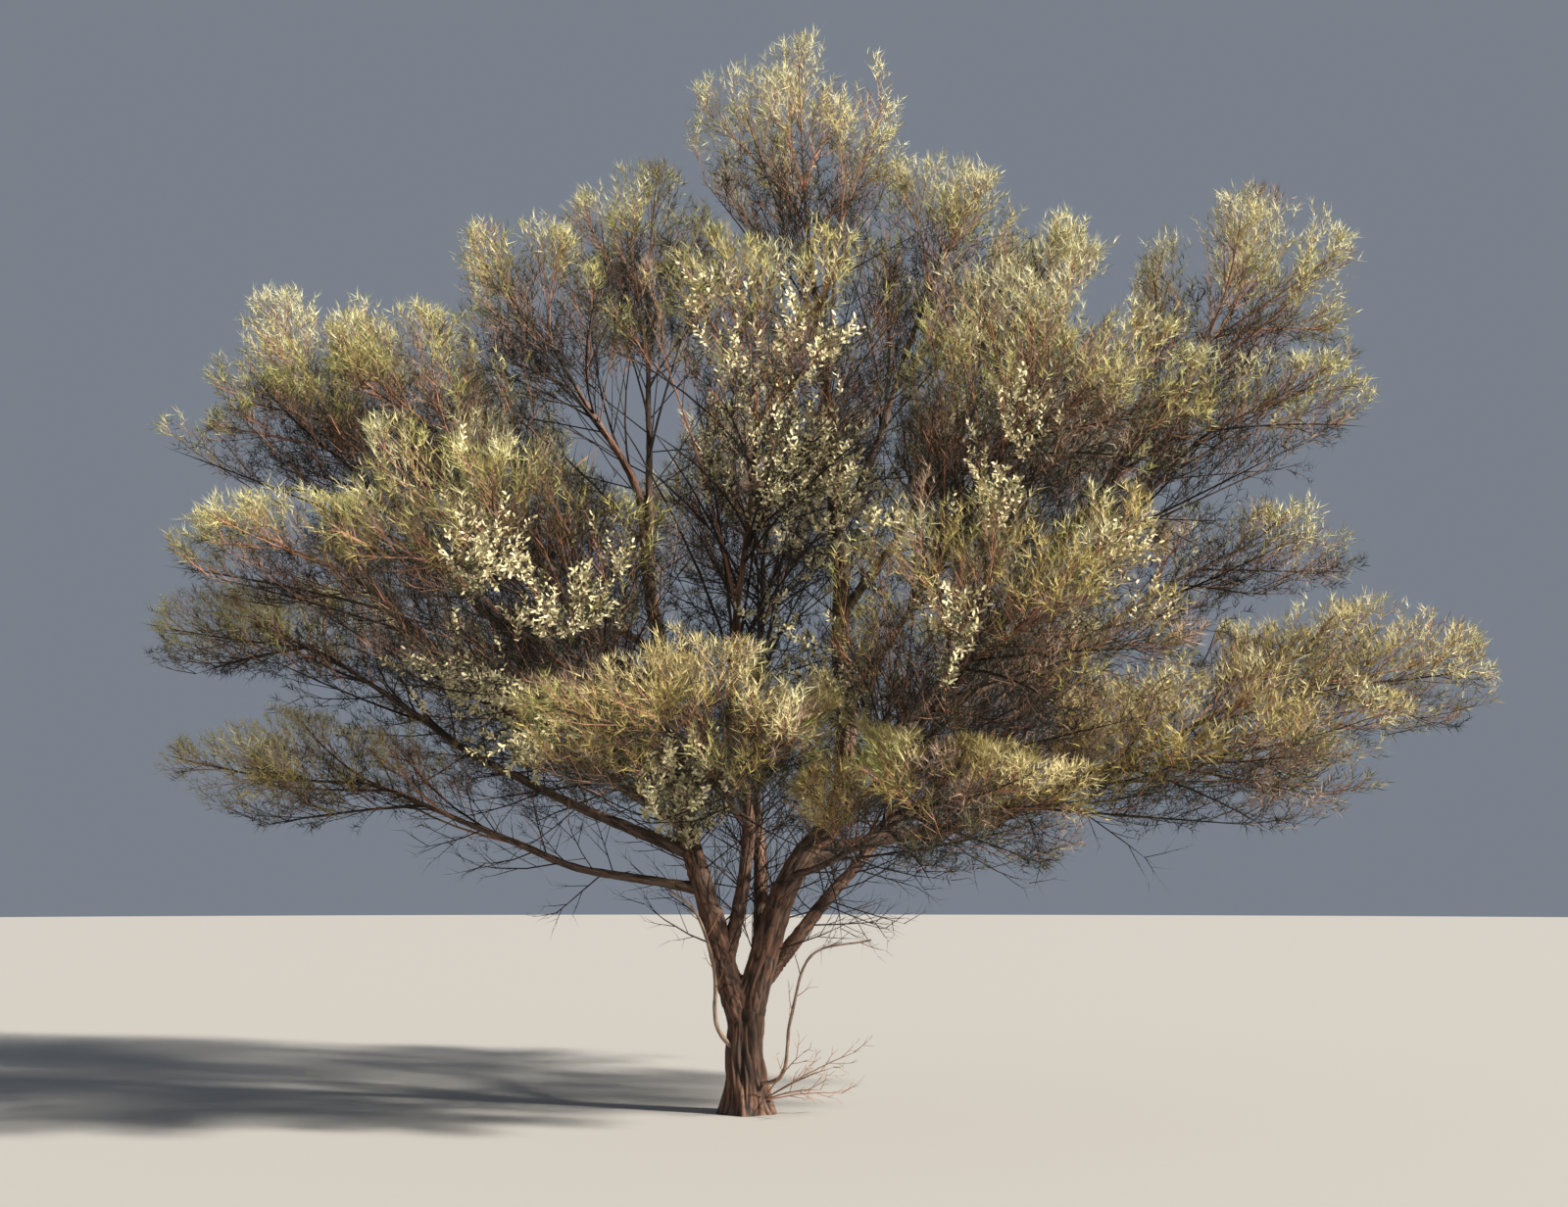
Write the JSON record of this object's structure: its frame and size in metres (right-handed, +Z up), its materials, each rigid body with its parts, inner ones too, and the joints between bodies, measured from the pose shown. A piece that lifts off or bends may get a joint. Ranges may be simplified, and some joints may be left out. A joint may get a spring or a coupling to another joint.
{
  "type": "acacia tree",
  "caption": "Spreading needle-leaved acacia with a short forked trunk, limbs that fan out low, separate masses of fine foliage and a few clumps of broad pale leaves.",
  "frame": {"origin": "middle of the flat cut under the trunk, at ground level", "axes": "+Z up, +X to the right of the front view, +Y away from the viewer"},
  "size_m": [9.3343, 6.4195, 7.7667],
  "materials": {
    "bark": "furrowed fibrous dark red-brown bark",
    "dead_wood": "weathered bare grey-brown wood",
    "foliage": "matt olive needles on red-brown twigs",
    "pale_leaves": "matt pale cream-green leaves"
  },
  "bodies": {
    "root": {"trunk": "bark", "right_stem": "bark", "left_stem": "bark", "centre_stem": "bark", "back_centre_stem": "bark", "back_stem": "bark", "bough_top_right": "bark", "bough_left_crest": "bark", "bough_left_shoulder": "bark", "bough_left_high": "bark", "bough_left_horn": "bark", "bough_left_middle": "bark", "bough_left_low": "bark", "bough_low_left": "bark", "bough_left_front": "bark", "bough_front_low": "bark", "bough_front_right_low": "bark", "bough_right_peak": "bark", "bough_right_crest": "bark", "bough_right_high_tip": "bark", "bough_right_middle": "bark", "bough_right_middle_tip": "bark", "bough_right_front": "bark", "bough_right_low_tip": "bark", "bough_right_low": "bark", "bough_back_left": "bark", "bough_back_right": "bark", "bough_back_low_left": "bark", "dead_limb_left": "dead_wood", "dead_limb_right": "dead_wood", "foliage_top": "foliage", "foliage_left_dome": "foliage", "foliage_front_middle": "foliage", "foliage_back_middle": "foliage", "foliage_back_low_right": "foliage", "foliage_top_right": "foliage", "foliage_left_crest": "foliage", "foliage_left_shoulder": "foliage", "foliage_left_high": "foliage", "foliage_left_horn": "foliage", "foliage_left_middle": "foliage", "foliage_left_low": "foliage", "foliage_low_left": "foliage", "foliage_left_front": "foliage", "foliage_front_low": "foliage", "foliage_front_right_low": "foliage", "foliage_right_peak": "foliage", "foliage_right_crest": "foliage", "foliage_right_high_tip": "foliage", "foliage_right_middle": "foliage", "foliage_right_middle_tip": "foliage", "foliage_right_front": "foliage", "foliage_right_low_tip": "foliage", "foliage_right_low": "foliage", "foliage_back_left": "foliage", "foliage_back_right": "foliage", "foliage_back_low_left": "foliage", "pale_clump_left": "pale_leaves", "pale_clump_right": "pale_leaves", "pale_clump_low": "pale_leaves"}
  },
  "joints": []
}
